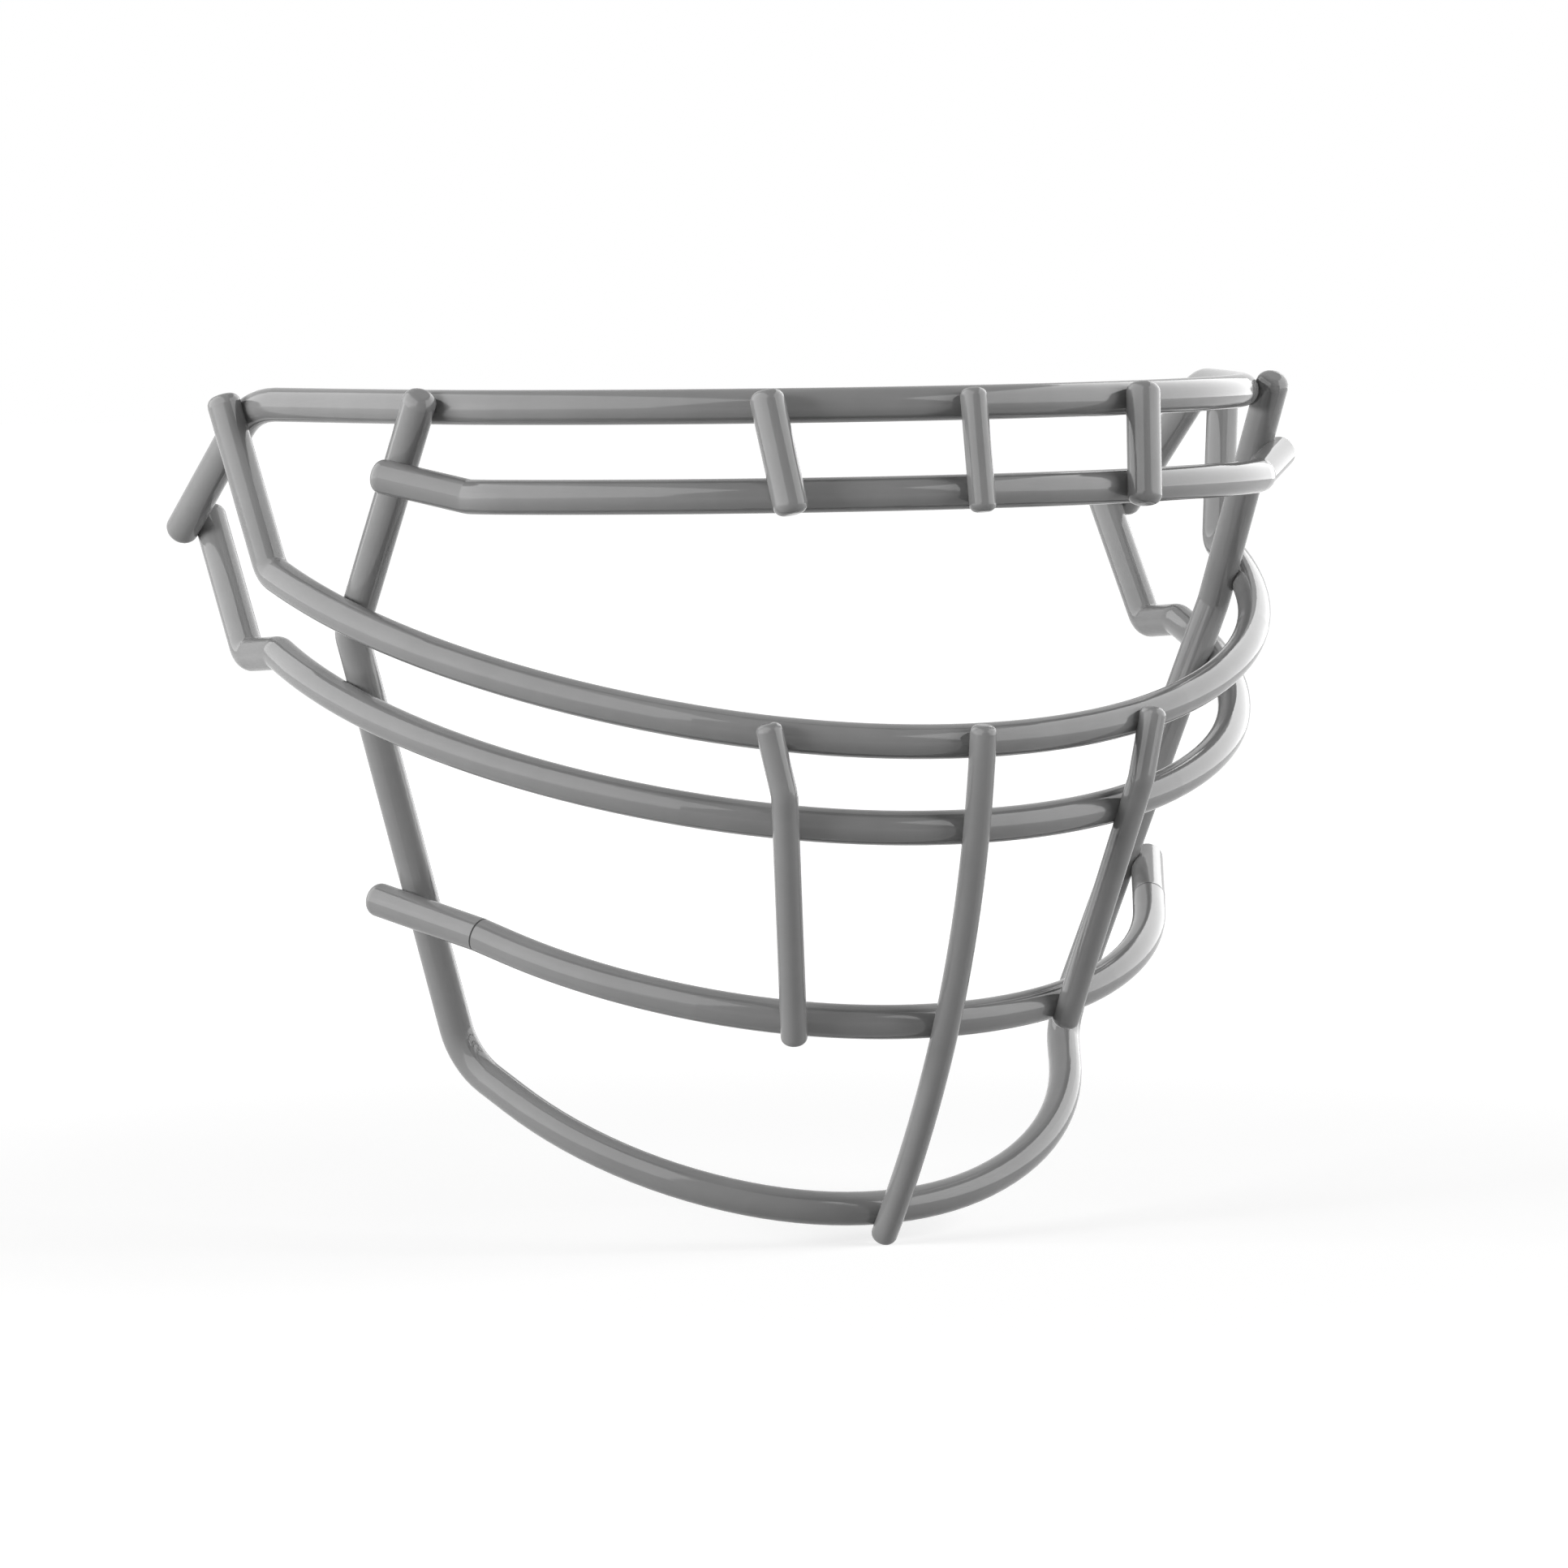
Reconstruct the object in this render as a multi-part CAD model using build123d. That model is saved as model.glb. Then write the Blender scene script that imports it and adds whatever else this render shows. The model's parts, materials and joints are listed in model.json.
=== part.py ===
"""Football helmet facemask: a welded cage of bent steel wires, each in its moulded coating.

It is drawn with X across the face, -Y out of the face, +Z up, and the brow bar on Z = 0.
At the end the whole cage is moved so that the middle of its box is the origin.
OUT, BACK, RISE and DROP are distances along X, +Y, +Z and -Z from the drawing's origin.
Only the right-hand half (+X) of each side-to-side wire is described; the other half mirrors it.
A mark is a place on a bar, measured along it from its crown, as a wire bender marks it.
"""

from build123d import *
import os
from math import asin, atan2, cos, hypot, radians, sin

# Wire stock, coating, welds and bends
HEAVY_WIRE = 6.35
LIGHT_WIRE = 4.76
COATING = 0.375
WELD_SET_DOWN = 0.15
UPPER_RUN_SET_DOWN = 0.35
BEND_RADIUS = 4.6
DOME_SHARE = 0.6

# Side frame and chin bar, one wire: it runs inside the jaw bars and outside the brow bar
FRAME_TIP_OUT = 98.7
FRAME_TIP_BACK = 33.6
FRAME_TIP_RISE = 2.9
FRAME_BEND_OUT = 101.5
FRAME_BEND_BACK = 65.9
FRAME_BEND_DROP = 46.7
CHIN_CROWN_BACK = 28.6
CHIN_DROP = 168.6
CHIN_TILT = 30.0
CHIN_CROWN_RADIUS = 65.5
CHIN_CROWN_ARC = 28.5
CHIN_SHOULDER_RADIUS = 74.5
CHIN_SHOULDER_ARC = 55.8
CHIN_LEAD = 15.6
CHIN_BEND_RADIUS = 12.0

# Brow bar: the top bar, whose ends turn back and down as the temple legs
BROW_CROWN_BACK = -12.6
BROW_CROWN_RADIUS = 113.0
BROW_CROWN_ARC = 97.0
BROW_SHOULDER_PAST_FRAME = 2.3
BROW_FLANK_RADIUS = 360.0
BROW_FLANK_ARC = 45.0
BROW_LEAD = 0.4
TEMPLE_BEND_RADIUS = 24.0
TEMPLE_LEG_OUT = 3.8
TEMPLE_LEG_BACK = 46.7
TEMPLE_LEG_DROP = 28.2

# Lower brow bar: the lower edge of the brow guard, whose ends kink out over the side frame
LOWER_BROW_CROWN_BACK = -15.6
LOWER_BROW_DROP = 17.9
LOWER_BROW_CROWN_RADIUS = 122.0
LOWER_BROW_CROWN_ARC = 96.0
LOWER_BROW_FLANK_RADIUS = 22.0
LOWER_BROW_FLANK_ARC = 8.0
LOWER_BROW_SET_DOWN = 1.2
LOWER_BROW_WELD_DROP = 12.4
LOWER_BROW_OVERHANG = 3.2

# Upper jaw bar: the lower edge of the view, whose ends turn up as the cheek legs
UPPER_JAW_CROWN_BACK = -15.3
UPPER_JAW_DROP = 68.3
UPPER_JAW_TILT = 19.0
UPPER_JAW_CROWN_RADIUS = 105.0
UPPER_JAW_CROWN_ARC = 58.0
UPPER_JAW_SHOULDER_RADIUS = 124.0
UPPER_JAW_SHOULDER_ARC = 54.0
UPPER_JAW_PAST_FRAME = 21.0
UPPER_JAW_LEAD = 0.6
CHEEK_LEG_BEND_SHARE = 0.56
CHEEK_LEG_OVERHANG = 4.6

# Middle jaw bar: its ends jog back, then turn up as the rear legs
MIDDLE_JAW_CROWN_BACK = -12.2
MIDDLE_JAW_DROP = 86.0
MIDDLE_JAW_TILT = 18.0
MIDDLE_JAW_CROWN_RADIUS = 102.0
MIDDLE_JAW_CROWN_ARC = 59.0
MIDDLE_JAW_PAST_FRAME = 25.5
MIDDLE_JAW_LEAD = 0.6
JOG_OUT = 0.6
JOG_BACK = 13.8
JOG_DROP = 0.7
REAR_LEG_WELD_FROM_TIP = 3.4
REAR_LEG_OVERHANG = 4.0

# Lower jaw bar: short of the legs, its end runs start at a seam and stop just past the side frame
LOWER_JAW_CROWN_BACK = 2.3
LOWER_JAW_DROP = 126.9
LOWER_JAW_TILT = 18.5
LOWER_JAW_CROWN_RADIUS = 81.0
LOWER_JAW_CROWN_ARC = 50.0
LOWER_JAW_SHOULDER_RADIUS = 90.0
LOWER_JAW_SHOULDER_ARC = 43.7
LOWER_JAW_LEAD = 8.0
LOWER_JAW_WELD_DROP = 102.7
LOWER_JAW_OVERHANG = 8.0
SEAM_WIDTH = 0.4

# Uprights
BROW_UPRIGHT_MARK_TOP = 41.4
BROW_UPRIGHT_MARK_BOTTOM = 39.3
BROW_UPRIGHT_OVERHANG_TOP = 2.2
BROW_UPRIGHT_OVERHANG_BOTTOM = 4.9
JAW_UPRIGHT_MARK_TOP = 42.3
JAW_UPRIGHT_MARK_MIDDLE = 38.1
JAW_UPRIGHT_MARK_BOTTOM = 30.3
JAW_UPRIGHT_KINK_RISE = 8.3
JAW_UPRIGHT_OVERHANG = 3.3
CHIN_UPRIGHT_OVERHANG = 4.5

# A place well inside the face, which tells a wire's outside from its inside
FACE_BACK = 100.0

# What follows from the stock: how far apart the middles of two welded wires lie
HEAVY_REACH = HEAVY_WIRE - WELD_SET_DOWN
LIGHT_REACH = (HEAVY_WIRE + LIGHT_WIRE) / 2 - WELD_SET_DOWN
UPPER_RUN_REACH = HEAVY_WIRE - UPPER_RUN_SET_DOWN
LOWER_BROW_REACH = HEAVY_WIRE - LOWER_BROW_SET_DOWN

# How often a direction that depends on its own result is worked out again
FITTING_ROUNDS = 5


def seat(point, heading, along, reach):
    """The middle of a wire that runs along `along`, laid on the outside of a bar at `point`.

    A negative reach lays it on the inside.
    """
    normal = heading.cross(along).normalized()
    outward = Vector(point.X, point.Y - FACE_BACK, 0)
    if normal.dot(outward) < 0:
        normal = -normal
    return point + normal * reach


def touch(start, point, heading, reach):
    """Where a straight wire from `start` passes over a bar at `point`."""
    target = point
    for _ in range(FITTING_ROUNDS):
        target = seat(point, heading, target - start, reach)
    return target


def stretched(start, end, extra):
    """The point that lies `extra` past `end` on the line from `start`."""
    return end + (end - start).normalized() * extra


def at_drop(start, end, drop):
    """The point of a straight run at a height."""
    return start + (end - start) * ((-drop - start.Z) / (end.Z - start.Z))


class Bar:
    """The centreline of a side-to-side wire, from its crown to its right-hand end.

    Its bow lies in a plane that rises towards the back by `tilt` degrees.
    """

    def __init__(self, back, drop, tilt=0):
        self.crown = self.point = Vector(0, back, -drop)
        self.heading = Vector(1, 0, 0)
        self.normal = Vector(0, -sin(radians(tilt)), cos(radians(tilt)))
        self.edges = []

    def turn(self, side, radius, angle):
        """Bends towards `side` by an angle in radians."""

        def place(part):
            return self.point + self.heading * radius * sin(part) + side * radius * (1 - cos(part))

        middle, end = place(angle / 2), place(angle)
        self.edges.append(ThreePointArc(self.point, middle, end))
        self.heading = self.heading * cos(angle) + side * sin(angle)
        self.point = end

    def arc(self, radius, length):
        """Bends on in the bow's plane."""
        self.turn(self.normal.cross(self.heading), radius, length / radius)

    def straight(self, length):
        end = self.point + self.heading * length
        self.edges.append(Line(self.point, end))
        self.point = end

    def towards(self, target, past=0, radius=BEND_RADIUS):
        """Bends just enough to run straight to a point, and then on past it."""
        sight = target - self.point
        side = (sight - self.heading * sight.dot(self.heading)).normalized()
        ahead, aside = sight.dot(self.heading), sight.dot(side) - radius
        self.turn(side, radius, atan2(aside, ahead) + asin(radius / hypot(ahead, aside)))
        self.straight((target - self.point).length + past)

    def onto(self, run, reach, past):
        """Bends on in one arc until it lies against a run of the side frame, and then on past it."""
        along = (run[1] - run[0]).normalized()
        heading = self.heading
        for _ in range(FITTING_ROUNDS):
            start = seat(run[0], heading, along, reach)
            target = start - along * ((start - self.crown).dot(self.normal) / along.dot(self.normal))
            chord = target - self.point
            heading = chord * (2 * chord.dot(self.heading) / chord.dot(chord)) - self.heading
        side = self.normal.cross(self.heading)
        angle = atan2(heading.dot(side), heading.dot(self.heading))
        radius = chord.length / (2 * sin(angle / 2))
        self.turn(side, radius, angle)
        self.arc(radius, past)

    def at(self, mark):
        return Wire(self.edges).position_at(mark, PositionMode.LENGTH)

    def heading_at(self, mark):
        return Wire(self.edges).tangent_at(mark, PositionMode.LENGTH)


def across(path):
    """The same path on the other side of the face."""
    return Wire(mirror(path, about=Plane.YZ).edges())


def mirrored(edges):
    """A whole side-to-side wire from its right-hand half."""
    return Wire([*edges, *across(Wire(edges)).edges()])


# The chin bar and the side frame, whose lower run starts at the chin bar's corner
chin = Bar(CHIN_CROWN_BACK, CHIN_DROP, CHIN_TILT)
chin.arc(CHIN_CROWN_RADIUS, CHIN_CROWN_ARC)
chin.arc(CHIN_SHOULDER_RADIUS, CHIN_SHOULDER_ARC)
chin.straight(CHIN_LEAD)
frame_bend = Vector(FRAME_BEND_OUT, FRAME_BEND_BACK, -FRAME_BEND_DROP)
frame_tip = Vector(FRAME_TIP_OUT, FRAME_TIP_BACK, FRAME_TIP_RISE)
lower_run = (chin.point, frame_bend)
upper_run = (frame_bend, frame_tip)
frame_legs = FilletPolyline(
    chin.edges[-1] @ 0, chin.point, frame_bend, frame_tip, radius=[CHIN_BEND_RADIUS, BEND_RADIUS]
)

# The brow bar and its temple legs
brow = Bar(BROW_CROWN_BACK, 0)
brow.arc(BROW_CROWN_RADIUS, BROW_CROWN_ARC)
brow.onto(upper_run, -UPPER_RUN_REACH, BROW_SHOULDER_PAST_FRAME)
brow.arc(BROW_FLANK_RADIUS, BROW_FLANK_ARC)
brow.straight(BROW_LEAD)
brow.towards(
    brow.point + Vector(TEMPLE_LEG_OUT, TEMPLE_LEG_BACK, -TEMPLE_LEG_DROP),
    radius=TEMPLE_BEND_RADIUS,
)
temple_bend = brow.edges[-2]

# The lower brow bar
lower_brow = Bar(LOWER_BROW_CROWN_BACK, LOWER_BROW_DROP)
lower_brow.arc(LOWER_BROW_CROWN_RADIUS, LOWER_BROW_CROWN_ARC)
lower_brow.arc(LOWER_BROW_FLANK_RADIUS, LOWER_BROW_FLANK_ARC)
kink_weld = at_drop(*upper_run, LOWER_BROW_WELD_DROP)
lower_brow.towards(
    touch(lower_brow.point, kink_weld, frame_tip - frame_bend, LOWER_BROW_REACH),
    past=LOWER_BROW_OVERHANG,
)

# The upper jaw bar and its cheek legs, which cross the temple legs at their bends
upper_jaw = Bar(UPPER_JAW_CROWN_BACK, UPPER_JAW_DROP, UPPER_JAW_TILT)
upper_jaw.arc(UPPER_JAW_CROWN_RADIUS, UPPER_JAW_CROWN_ARC)
upper_jaw.arc(UPPER_JAW_SHOULDER_RADIUS, UPPER_JAW_SHOULDER_ARC)
upper_jaw.onto(upper_run, UPPER_RUN_REACH, UPPER_JAW_PAST_FRAME)
upper_jaw.straight(UPPER_JAW_LEAD)
cheek_weld, cheek_heading = temple_bend @ CHEEK_LEG_BEND_SHARE, temple_bend % CHEEK_LEG_BEND_SHARE
upper_jaw.towards(
    touch(upper_jaw.point, cheek_weld, cheek_heading, HEAVY_REACH), past=CHEEK_LEG_OVERHANG
)

# The middle jaw bar, its jogs and its rear legs, which end inside the temple legs' tips
middle_jaw = Bar(MIDDLE_JAW_CROWN_BACK, MIDDLE_JAW_DROP, MIDDLE_JAW_TILT)
middle_jaw.arc(MIDDLE_JAW_CROWN_RADIUS, MIDDLE_JAW_CROWN_ARC)
middle_jaw.onto(lower_run, HEAVY_REACH, MIDDLE_JAW_PAST_FRAME)
middle_jaw.straight(MIDDLE_JAW_LEAD)
middle_jaw.towards(middle_jaw.point + Vector(JOG_OUT, JOG_BACK, -JOG_DROP))
rear_weld = brow.point - brow.heading * REAR_LEG_WELD_FROM_TIP
middle_jaw.towards(
    touch(middle_jaw.point, rear_weld, brow.heading, -HEAVY_REACH), past=REAR_LEG_OVERHANG
)

# The lower jaw bar; its end runs leave its plane a little
lower_jaw = Bar(LOWER_JAW_CROWN_BACK, LOWER_JAW_DROP, LOWER_JAW_TILT)
lower_jaw.arc(LOWER_JAW_CROWN_RADIUS, LOWER_JAW_CROWN_ARC)
lower_jaw.arc(LOWER_JAW_SHOULDER_RADIUS, LOWER_JAW_SHOULDER_ARC)
lower_jaw.straight(LOWER_JAW_LEAD)
seam = Plane(origin=lower_jaw.point - lower_jaw.heading * SEAM_WIDTH, z_dir=lower_jaw.heading)
lower_weld = at_drop(*lower_run, LOWER_JAW_WELD_DROP)
lower_jaw.towards(
    touch(lower_jaw.point, lower_weld, frame_bend - chin.point, HEAVY_REACH), past=LOWER_JAW_OVERHANG
)


def brow_upright(mark_top, mark_bottom, reach):
    """A short straight wire over the two brow bars, `reach` out from their middles."""
    top, bottom = brow.at(mark_top), lower_brow.at(mark_bottom)
    top_seat = seat(top, brow.heading_at(mark_top), top - bottom, reach)
    bottom_seat = seat(bottom, lower_brow.heading_at(mark_bottom), top - bottom, reach)
    return Wire(
        Line(
            stretched(bottom_seat, top_seat, BROW_UPRIGHT_OVERHANG_TOP),
            stretched(top_seat, bottom_seat, BROW_UPRIGHT_OVERHANG_BOTTOM),
        ).edges()
    )


def jaw_upright():
    """A side wire over the three jaw bars, bent between the upper two."""
    top = upper_jaw.at(JAW_UPRIGHT_MARK_TOP)
    middle = middle_jaw.at(JAW_UPRIGHT_MARK_MIDDLE)
    bottom = lower_jaw.at(JAW_UPRIGHT_MARK_BOTTOM)
    top_seat = seat(top, upper_jaw.heading_at(JAW_UPRIGHT_MARK_TOP), top - middle, LIGHT_REACH)
    middle_seat = seat(middle, middle_jaw.heading_at(JAW_UPRIGHT_MARK_MIDDLE), middle - bottom, LIGHT_REACH)
    bottom_seat = seat(bottom, lower_jaw.heading_at(JAW_UPRIGHT_MARK_BOTTOM), middle - bottom, LIGHT_REACH)
    bend = stretched(bottom_seat, middle_seat, JAW_UPRIGHT_KINK_RISE)
    top_tip = stretched(bend, top_seat, JAW_UPRIGHT_OVERHANG)
    bottom_tip = stretched(middle_seat, bottom_seat, JAW_UPRIGHT_OVERHANG)
    return Wire(FilletPolyline(top_tip, bend, bottom_tip, radius=BEND_RADIUS).edges())


def chin_upright():
    """The long middle wire, bowed over the three jaw bars and straightening to the chin bar."""
    crowns = [upper_jaw.crown, middle_jaw.crown, lower_jaw.crown, chin.crown]
    seats = []
    for place, crown in enumerate(crowns):
        above, below = crowns[max(place - 1, 0)], crowns[min(place + 1, len(crowns) - 1)]
        seats.append(seat(crown, Vector(1, 0, 0), above - below, LIGHT_REACH))
    bow = ThreePointArc(*seats[:3])
    lower_bow = TangentArc(seats[2], seats[3], tangent=bow % 1)
    return Wire(
        [
            Line(seats[0] - (bow % 0) * CHIN_UPRIGHT_OVERHANG, seats[0]),
            bow,
            lower_bow,
            Line(seats[3], seats[3] + (lower_bow % 1) * CHIN_UPRIGHT_OVERHANG),
        ]
    )


def rod(path, diameter, shorten):
    """A round wire along a path, short of the path's ends by `shorten`, with domed ends."""
    trim = shorten / path.length
    line = path.trim(trim, 1 - trim) if shorten else path
    section = Plane(origin=line @ 0, z_dir=line % 0) * Circle(diameter / 2)
    solid = sweep(section, path=line).solid()
    rims = [
        edge
        for edge in solid.edges().filter_by(GeomType.CIRCLE)
        if min((edge.arc_center - line @ 0).length, (edge.arc_center - line @ 1).length) < COATING
    ]
    return fillet(rims, diameter / 2 * DOME_SHARE).solid()


class CageWire:
    """One wire: its centreline, its steel core and the outside of its coating."""

    def __init__(self, name, path, diameter):
        self.name = name
        self.path = path
        self.diameter = diameter
        self.carriers = []
        self.core = rod(path, diameter, COATING)
        self.outside = rod(path, diameter + 2 * COATING, 0)

    def touches(self, other):
        return self.path.distance_to(other.path) < (self.diameter + other.diameter) / 2 + COATING


def minus(solid, *tools):
    """What is left of a solid, as one solid."""
    return solid.cut(*tools).solid() if tools else solid


brow_upright_path = brow_upright(BROW_UPRIGHT_MARK_TOP, BROW_UPRIGHT_MARK_BOTTOM, HEAVY_REACH)
jaw_upright_path = jaw_upright()
cage = [
    CageWire("side_frame", mirrored([*chin.edges[:-1], *frame_legs.edges()]), HEAVY_WIRE),
    CageWire("brow_bar", mirrored(brow.edges), HEAVY_WIRE),
    CageWire("lower_brow_bar", mirrored(lower_brow.edges), HEAVY_WIRE),
    CageWire("upper_jaw_bar", mirrored(upper_jaw.edges), HEAVY_WIRE),
    CageWire("middle_jaw_bar", mirrored(middle_jaw.edges), HEAVY_WIRE),
    CageWire("lower_jaw_bar", mirrored(lower_jaw.edges), HEAVY_WIRE),
    CageWire("brow_upright_left", brow_upright_path, HEAVY_WIRE),
    CageWire("brow_upright_right", across(brow_upright_path), HEAVY_WIRE),
    CageWire("brow_upright_centre", brow_upright(0, 0, LIGHT_REACH), LIGHT_WIRE),
    CageWire("jaw_upright_left", jaw_upright_path, LIGHT_WIRE),
    CageWire("jaw_upright_right", across(jaw_upright_path), LIGHT_WIRE),
    CageWire("chin_upright", chin_upright(), LIGHT_WIRE),
]

# Each wire is pressed onto the ones before it: its core gets their saddles, its coating stops at theirs
cores, coatings = {}, {}
for place, wire in enumerate(cage):
    wire.carriers = [other for other in cage[:place] if wire.touches(other)]
    cores[wire.name] = minus(wire.core, *(other.core for other in wire.carriers))
for wire in cage:
    riders = [other for other in cage if wire in other.carriers]
    coatings[wire.name] = minus(
        wire.outside,
        wire.core,
        *(other.outside for other in wire.carriers),
        *(cores[other.name] for other in riders),
    )

# The seams of the lower jaw bar's coating: a fine groove round the start of each end run
groove = seam * Torus(HEAVY_WIRE / 2 + COATING, SEAM_WIDTH / 2)
coatings["lower_jaw_bar"] = minus(coatings["lower_jaw_bar"], groove, mirror(groove, about=Plane.YZ))

parts = {f"{name}_core": core for name, core in cores.items()}
parts |= {f"{name}_coating": coating for name, coating in coatings.items()}
box = Compound(children=[wire.outside for wire in cage]).bounding_box()
to_origin = Location((0, -box.center().Y, -box.center().Z))

os.makedirs("parts", exist_ok=True)
for name, part in parts.items():
    export_step(part.moved(to_origin), f"parts/{name}.step")
print("box", box.size, "moved by", to_origin.position)
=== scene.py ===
"""A coated wire facemask in a plain pale studio, seen from its front right."""

import json
from math import cos, radians, sin

import bpy
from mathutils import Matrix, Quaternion, Vector

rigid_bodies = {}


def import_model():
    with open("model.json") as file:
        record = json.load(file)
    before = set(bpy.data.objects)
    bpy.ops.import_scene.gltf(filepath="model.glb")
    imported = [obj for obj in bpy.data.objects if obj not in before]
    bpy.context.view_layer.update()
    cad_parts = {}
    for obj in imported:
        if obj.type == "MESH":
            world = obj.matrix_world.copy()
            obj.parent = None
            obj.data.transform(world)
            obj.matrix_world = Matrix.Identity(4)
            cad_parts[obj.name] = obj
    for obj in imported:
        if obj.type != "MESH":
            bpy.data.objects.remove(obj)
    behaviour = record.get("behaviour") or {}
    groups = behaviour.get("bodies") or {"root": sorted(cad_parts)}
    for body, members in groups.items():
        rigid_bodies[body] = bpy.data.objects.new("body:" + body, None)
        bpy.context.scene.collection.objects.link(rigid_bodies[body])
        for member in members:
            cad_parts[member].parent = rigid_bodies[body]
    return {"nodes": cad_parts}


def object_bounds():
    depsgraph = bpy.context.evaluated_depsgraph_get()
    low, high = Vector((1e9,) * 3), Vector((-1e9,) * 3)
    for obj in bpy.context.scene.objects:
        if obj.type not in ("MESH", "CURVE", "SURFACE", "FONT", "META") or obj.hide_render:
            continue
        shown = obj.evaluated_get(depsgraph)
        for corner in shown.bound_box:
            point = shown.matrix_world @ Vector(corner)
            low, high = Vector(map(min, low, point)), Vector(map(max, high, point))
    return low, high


# Camera: its lens, where it looks from in degrees and metres, and the point at the middle of its picture
PICTURE = 1932
SENSOR = 36.0
FOCAL_PIXELS = 9134.0
CAMERA_AZIMUTH = -25.75
CAMERA_ELEVATION = 4.4
CAMERA_ROLL = -0.58
CAMERA_DISTANCE = 1.5087
CAMERA_AIM = Vector((-0.0307, -0.0458, 0.0087))

# Floor: its tone to the lamps, its glow to the eye under the object, and the distances from there
# between which the glow grows to white
FLOOR_SIDE = 12.0
FLOOR_TONE = 0.45
FLOOR_GLOW = 0.72
FLOOR_FADE = (0.15, 0.7)

# World: white to the eye, and how strongly it lights the object
WHITE = (1, 1, 1, 1)
AMBIENT = 0.14

# Soft boxes, for light without a mirror image: degrees to the right of the camera and up from it,
# distance and size in metres, and strength
SOFT_BOXES = {
    "left_box": {"right": -62, "up": 10, "distance": 1.6, "size": (1.0, 0.5), "watts": 24},
    "right_box": {"right": 80, "up": 20, "distance": 1.6, "size": (1.0, 0.9), "watts": 17},
}

# Reflector cards: what the gloss of the coating mirrors, without more light on its colour
CARDS = {
    "left_card": {"right": -65, "up": 24, "distance": 1.1, "size": (3.2, 2.3), "watts": 43},
    "right_card": {"right": 103, "up": 16, "distance": 1.1, "size": (3.1, 2.1), "watts": 44},
}

# Coating: its grey and its gloss, how far they stray from place to place, and the ripple of the dip
COATING_GREY = 0.25
GREY_STRAY_SHARE = 0.04
COATING_ROUGHNESS = 0.09
ROUGHNESS_STRAY = 0.02
COATING_IOR = 1.5
RIPPLE_STRENGTH = 0.2
RIPPLE_DEPTH = 0.00003

# Steel wire
STEEL_GREY = 0.42
STEEL_DARK_SHARE = 0.85
STEEL_ROUGHNESS = (0.32, 0.45)

# Noise patterns: waves per metre and levels of detail, and the range that most of their values fill
GREY_MOTTLE = (120, 3)
GLOSS_MOTTLE = (400, 2)
RIPPLE = (900, 2)
DRAWING_MARKS = (700, 4)
NOISE_RANGE = (0.3, 0.7)

# Seams of the lower jaw bar's coating: the middle of the wearer's left one, which way the bar runs
# there, and the painted shade in it, a dark matte line that stands in for the shade in the crack
SEAM_MIDDLE = (0.07854, 0.00004, -0.02358)
SEAM_HEADING = (0.4511, 0.8464, 0.2832)
SEAM_HALF_WIDTH = 0.0002
# Painted shade: a dark grey and a matte finish in the seam, for the shade in its crack
SEAM_PAINTED_SHADE_GREY = 0.04
SEAM_ROUGHNESS = 0.9


def camera_turn():
    """The camera's rotation, and the way back from its subject to it."""
    azimuth, elevation = radians(CAMERA_AZIMUTH), radians(CAMERA_ELEVATION)
    back = Vector((sin(azimuth) * cos(elevation), -cos(azimuth) * cos(elevation), sin(elevation)))
    level = (-back).to_track_quat("-Z", "Y")
    return level @ Quaternion((0, 0, 1), radians(CAMERA_ROLL)), back


def add_camera():
    turn, back = camera_turn()
    data = bpy.data.cameras.new("camera")
    data.sensor_width = SENSOR
    data.lens = FOCAL_PIXELS / PICTURE * SENSOR
    camera = bpy.data.objects.new("camera", data)
    camera.rotation_mode = "QUATERNION"
    camera.rotation_quaternion = turn
    camera.location = CAMERA_AIM + back * CAMERA_DISTANCE
    bpy.context.scene.collection.objects.link(camera)
    bpy.context.scene.camera = camera


def add_soft_box(name, place):
    """A rectangular lamp that faces the object, `right` and `up` of the camera."""
    turn, back = camera_turn()
    right, up = turn @ Vector((1, 0, 0)), turn @ Vector((0, 1, 0))
    side, rise = radians(place["right"]), radians(place["up"])
    away = back * cos(side) * cos(rise) + right * sin(side) * cos(rise) + up * sin(rise)
    data = bpy.data.lights.new(name, "AREA")
    data.shape = "RECTANGLE"
    data.size, data.size_y = place["size"]
    data.energy = place["watts"]
    lamp = bpy.data.objects.new(name, data)
    lamp.location = away * place["distance"]
    lamp.rotation_mode = "QUATERNION"
    lamp.rotation_quaternion = (-away).to_track_quat("-Z", "Y")
    lamp.visible_camera = False
    bpy.context.scene.collection.objects.link(lamp)
    return lamp


def seen_directly(nodes, links):
    """1 for camera, glossy and transmission rays, 0 for the rays that light the object."""
    path = nodes.new("ShaderNodeLightPath")
    either = nodes.new("ShaderNodeMath")
    either.operation = "MAXIMUM"
    links.new(path.outputs["Is Camera Ray"], either.inputs[0])
    links.new(path.outputs["Is Glossy Ray"], either.inputs[1])
    seen = nodes.new("ShaderNodeMath")
    seen.operation = "MAXIMUM"
    links.new(either.outputs[0], seen.inputs[0])
    links.new(path.outputs["Is Transmission Ray"], seen.inputs[1])
    return seen.outputs[0]


def light_world():
    """A world that is white to the eye and in the gloss, and a low plain light on the object."""
    world = bpy.data.worlds.new("studio")
    world.use_nodes = True
    bpy.context.scene.world = world
    nodes, links = world.node_tree.nodes, world.node_tree.links
    background = nodes["Background"]
    background.inputs["Color"].default_value = WHITE
    strength = nodes.new("ShaderNodeMapRange")
    strength.inputs["To Min"].default_value = AMBIENT
    strength.inputs["To Max"].default_value = 1.0
    links.new(seen_directly(nodes, links), strength.inputs["Value"])
    links.new(strength.outputs["Result"], background.inputs["Strength"])


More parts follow.
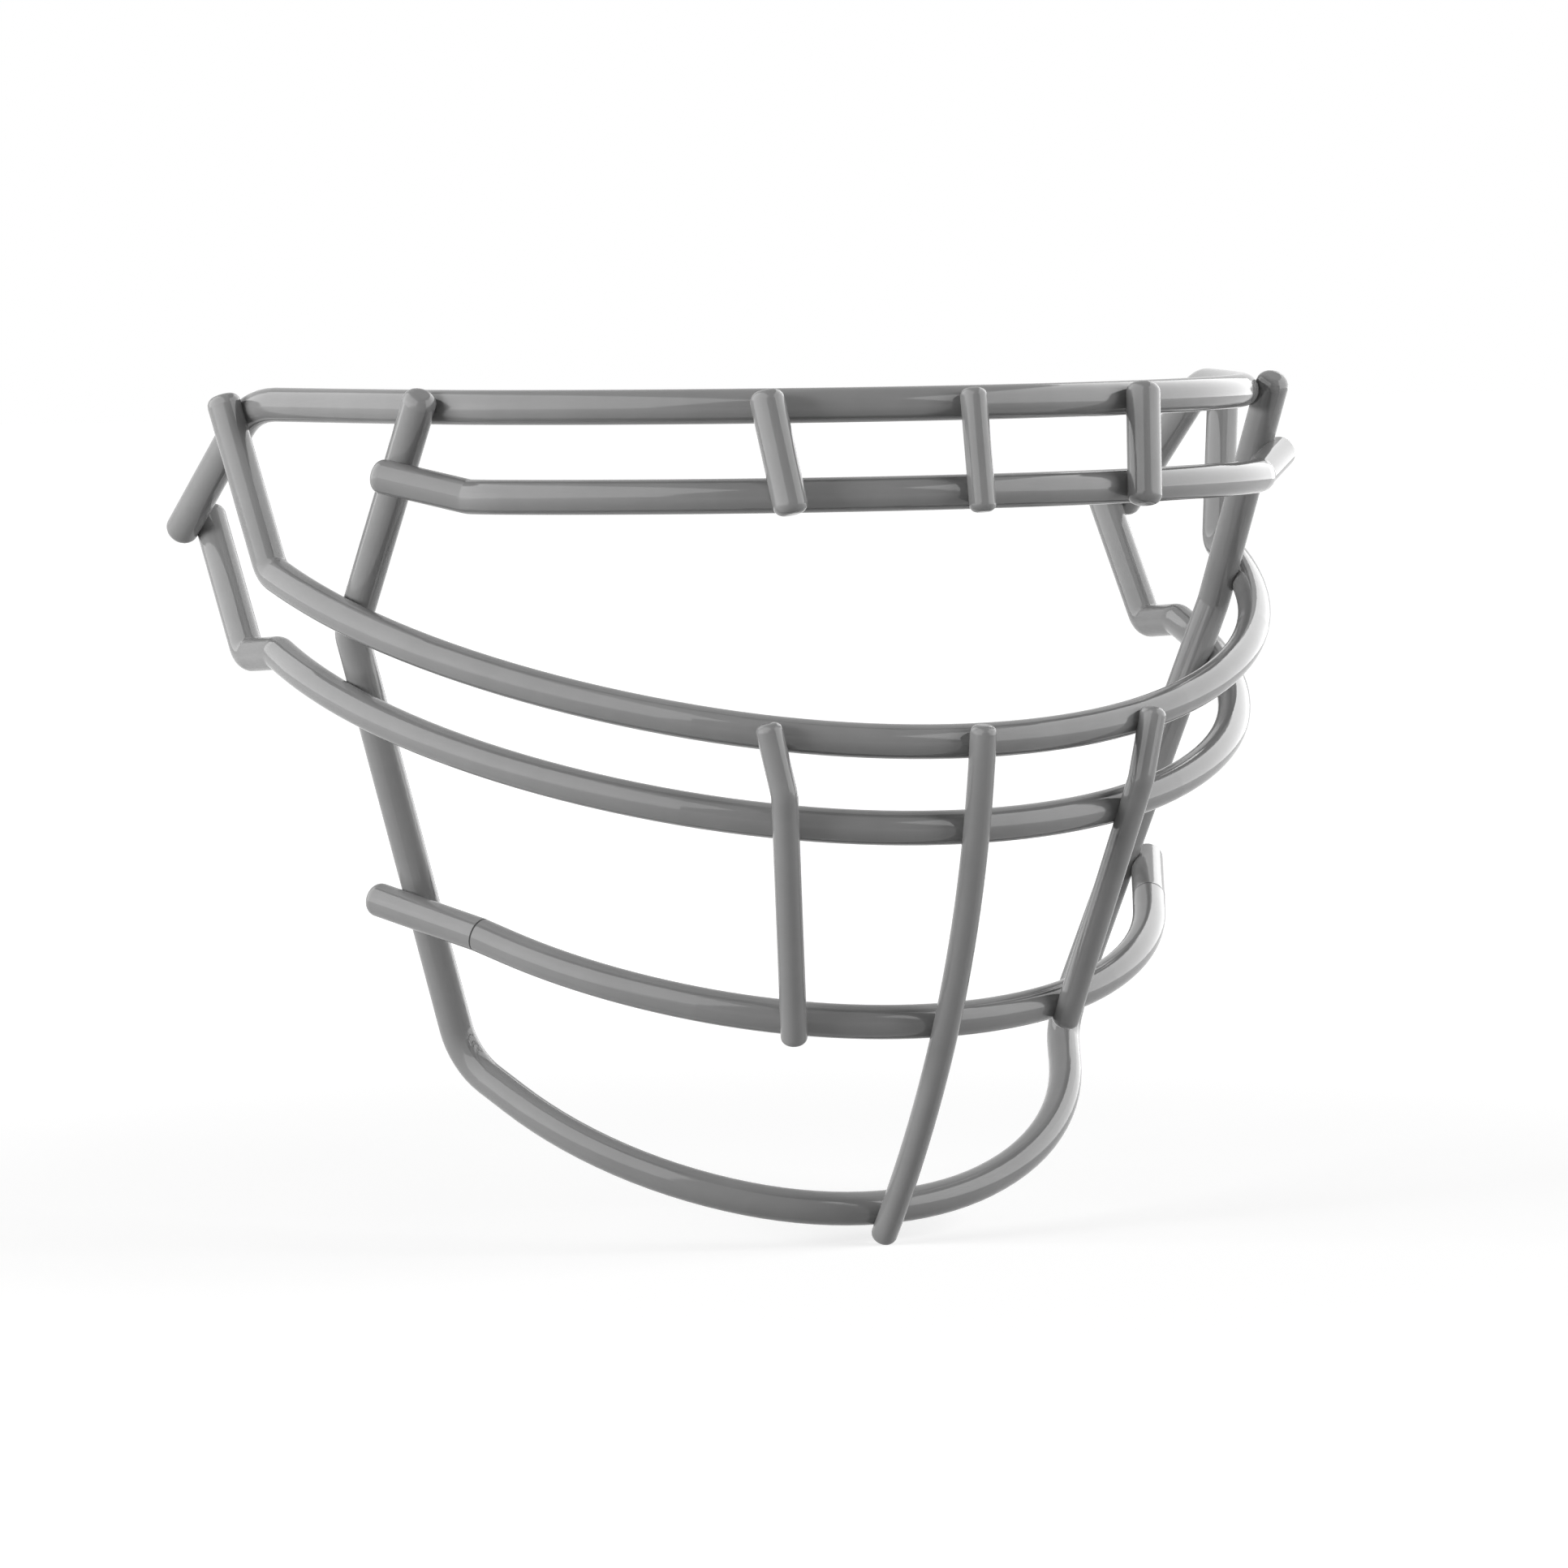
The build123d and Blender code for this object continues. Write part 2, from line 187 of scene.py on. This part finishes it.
def lay_floor(height):
    """A plain pale floor that takes a faint shadow and glows white to the eye further out."""
    bpy.ops.mesh.primitive_plane_add(size=FLOOR_SIDE, location=(0, 0, height))
    floor = bpy.context.object
    floor.name = "studio_floor"
    material = bpy.data.materials.new("pale_floor")
    material.use_nodes = True
    nodes, links = material.node_tree.nodes, material.node_tree.links
    nodes.clear()
    paint = nodes.new("ShaderNodeBsdfDiffuse")
    paint.inputs["Color"].default_value = (FLOOR_TONE, FLOOR_TONE, FLOOR_TONE, 1)
    place = nodes.new("ShaderNodeTexCoord")
    distance = nodes.new("ShaderNodeVectorMath")
    distance.operation = "LENGTH"
    links.new(place.outputs["Object"], distance.inputs[0])
    fade = nodes.new("ShaderNodeMapRange")
    fade.interpolation_type = "SMOOTHSTEP"
    fade.inputs["From Min"].default_value, fade.inputs["From Max"].default_value = FLOOR_FADE
    fade.inputs["To Min"].default_value = FLOOR_GLOW
    fade.inputs["To Max"].default_value = 1.0
    links.new(distance.outputs["Value"], fade.inputs["Value"])
    glow = nodes.new("ShaderNodeEmission")
    strength = nodes.new("ShaderNodeMath")
    strength.operation = "MULTIPLY"
    links.new(seen_directly(nodes, links), strength.inputs[0])
    links.new(fade.outputs["Result"], strength.inputs[1])
    links.new(strength.outputs[0], glow.inputs["Strength"])
    both = nodes.new("ShaderNodeAddShader")
    links.new(paint.outputs[0], both.inputs[0])
    links.new(glow.outputs[0], both.inputs[1])
    output = nodes.new("ShaderNodeOutputMaterial")
    links.new(both.outputs[0], output.inputs["Surface"])
    floor.data.materials.append(material)


def new_material(name):
    material = bpy.data.materials.new(name)
    material.use_nodes = True
    nodes, links = material.node_tree.nodes, material.node_tree.links
    return material, nodes, links, nodes["Principled BSDF"]


def noise(nodes, links, pattern):
    """A noise pattern on Object coordinates."""
    place = nodes.new("ShaderNodeTexCoord")
    waves = nodes.new("ShaderNodeTexNoise")
    waves.inputs["Scale"].default_value, waves.inputs["Detail"].default_value = pattern
    links.new(place.outputs["Object"], waves.inputs["Vector"])
    return waves.outputs["Fac"]


def spread(nodes, links, value, low, high):
    """A pattern's values, set between two numbers."""
    scale = nodes.new("ShaderNodeMapRange")
    scale.inputs["From Min"].default_value, scale.inputs["From Max"].default_value = NOISE_RANGE
    scale.inputs["To Min"].default_value = low
    scale.inputs["To Max"].default_value = high
    links.new(value, scale.inputs["Value"])
    return scale.outputs["Result"]


def in_painted_seam_shade(nodes, links):
    """1 in the seams, which lie alike on both sides of the face, and 0 elsewhere: where the painted
    shade goes.
    """
    place = nodes.new("ShaderNodeTexCoord")
    apart = nodes.new("ShaderNodeSeparateXYZ")
    links.new(place.outputs["Object"], apart.inputs["Vector"])
    sideways = nodes.new("ShaderNodeMath")
    sideways.operation = "ABSOLUTE"
    links.new(apart.outputs["X"], sideways.inputs[0])
    mirrored = nodes.new("ShaderNodeCombineXYZ")
    links.new(sideways.outputs[0], mirrored.inputs["X"])
    links.new(apart.outputs["Y"], mirrored.inputs["Y"])
    links.new(apart.outputs["Z"], mirrored.inputs["Z"])
    offset = nodes.new("ShaderNodeVectorMath")
    offset.operation = "SUBTRACT"
    offset.inputs[1].default_value = SEAM_MIDDLE
    links.new(mirrored.outputs["Vector"], offset.inputs[0])
    along = nodes.new("ShaderNodeVectorMath")
    along.operation = "DOT_PRODUCT"
    along.inputs[1].default_value = SEAM_HEADING
    links.new(offset.outputs["Vector"], along.inputs[0])
    near = nodes.new("ShaderNodeMath")
    near.operation = "COMPARE"
    near.inputs[1].default_value = 0
    near.inputs[2].default_value = SEAM_HALF_WIDTH
    links.new(along.outputs["Value"], near.inputs[0])
    return near.outputs[0]


def with_painted_seam_shade(nodes, links, value, seam_shade_value):
    """The coating's own value, with a painted-shade value in the seams: a dark matte line in place of
    the shade in the crack.
    """
    either = nodes.new("ShaderNodeMapRange")
    either.inputs["To Max"].default_value = seam_shade_value
    links.new(in_painted_seam_shade(nodes, links), either.inputs["Value"])
    links.new(value, either.inputs["To Min"])
    return either.outputs["Result"]


def dipped_coating(name, has_painted_seam_shade=False):
    """Semi-gloss grey plastic, with the faint mottle and ripple of a dipped coat, and where asked a
    painted shade line in the seams.
    """
    material, nodes, links, shader = new_material(name)
    grey = spread(
        nodes,
        links,
        noise(nodes, links, GREY_MOTTLE),
        COATING_GREY * (1 - GREY_STRAY_SHARE),
        COATING_GREY * (1 + GREY_STRAY_SHARE),
    )
    roughness = spread(
        nodes,
        links,
        noise(nodes, links, GLOSS_MOTTLE),
        COATING_ROUGHNESS - ROUGHNESS_STRAY,
        COATING_ROUGHNESS + ROUGHNESS_STRAY,
    )
    # Painted shade: the seams get a dark matte line for the shade in their crack
    if has_painted_seam_shade:
        grey = with_painted_seam_shade(nodes, links, grey, SEAM_PAINTED_SHADE_GREY)
        roughness = with_painted_seam_shade(nodes, links, roughness, SEAM_ROUGHNESS)
    links.new(grey, shader.inputs["Base Color"])
    links.new(roughness, shader.inputs["Roughness"])
    bump = nodes.new("ShaderNodeBump")
    bump.inputs["Strength"].default_value = RIPPLE_STRENGTH
    bump.inputs["Distance"].default_value = RIPPLE_DEPTH
    links.new(noise(nodes, links, RIPPLE), bump.inputs["Height"])
    links.new(bump.outputs["Normal"], shader.inputs["Normal"])
    shader.inputs["IOR"].default_value = COATING_IOR
    return material


def drawn_steel():
    """The bare wire under the coating, with fine drawing marks."""
    material, nodes, links, shader = new_material("drawn_steel")
    shader.inputs["Metallic"].default_value = 1.0
    marks = noise(nodes, links, DRAWING_MARKS)
    grey = spread(nodes, links, marks, STEEL_GREY * STEEL_DARK_SHARE, STEEL_GREY)
    links.new(grey, shader.inputs["Base Color"])
    links.new(spread(nodes, links, marks, *STEEL_ROUGHNESS), shader.inputs["Roughness"])
    return material


bpy.ops.object.select_all(action="SELECT")
bpy.ops.object.delete()
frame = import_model()
cad_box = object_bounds()

finishes = {"coating": dipped_coating("dipped_grey_coating"), "core": drawn_steel()}
for name, node in frame["nodes"].items():
    node.material_slots[0].material = finishes[name.rsplit("_", 1)[1]]
# The lower jaw bar's coating, with painted shade in its seams
coating_with_painted_seam_shade = dipped_coating("grey_coating_with_painted_seam_shade", has_painted_seam_shade=True)
frame["nodes"]["lower_jaw_bar_coating"].material_slots[0].material = coating_with_painted_seam_shade

lay_floor(cad_box[0].z)
light_world()
add_camera()
for name, place in SOFT_BOXES.items():
    add_soft_box(name, place).visible_glossy = False
for name, place in CARDS.items():
    add_soft_box(name, place).visible_diffuse = False
bpy.context.scene.view_settings.view_transform = "Standard"
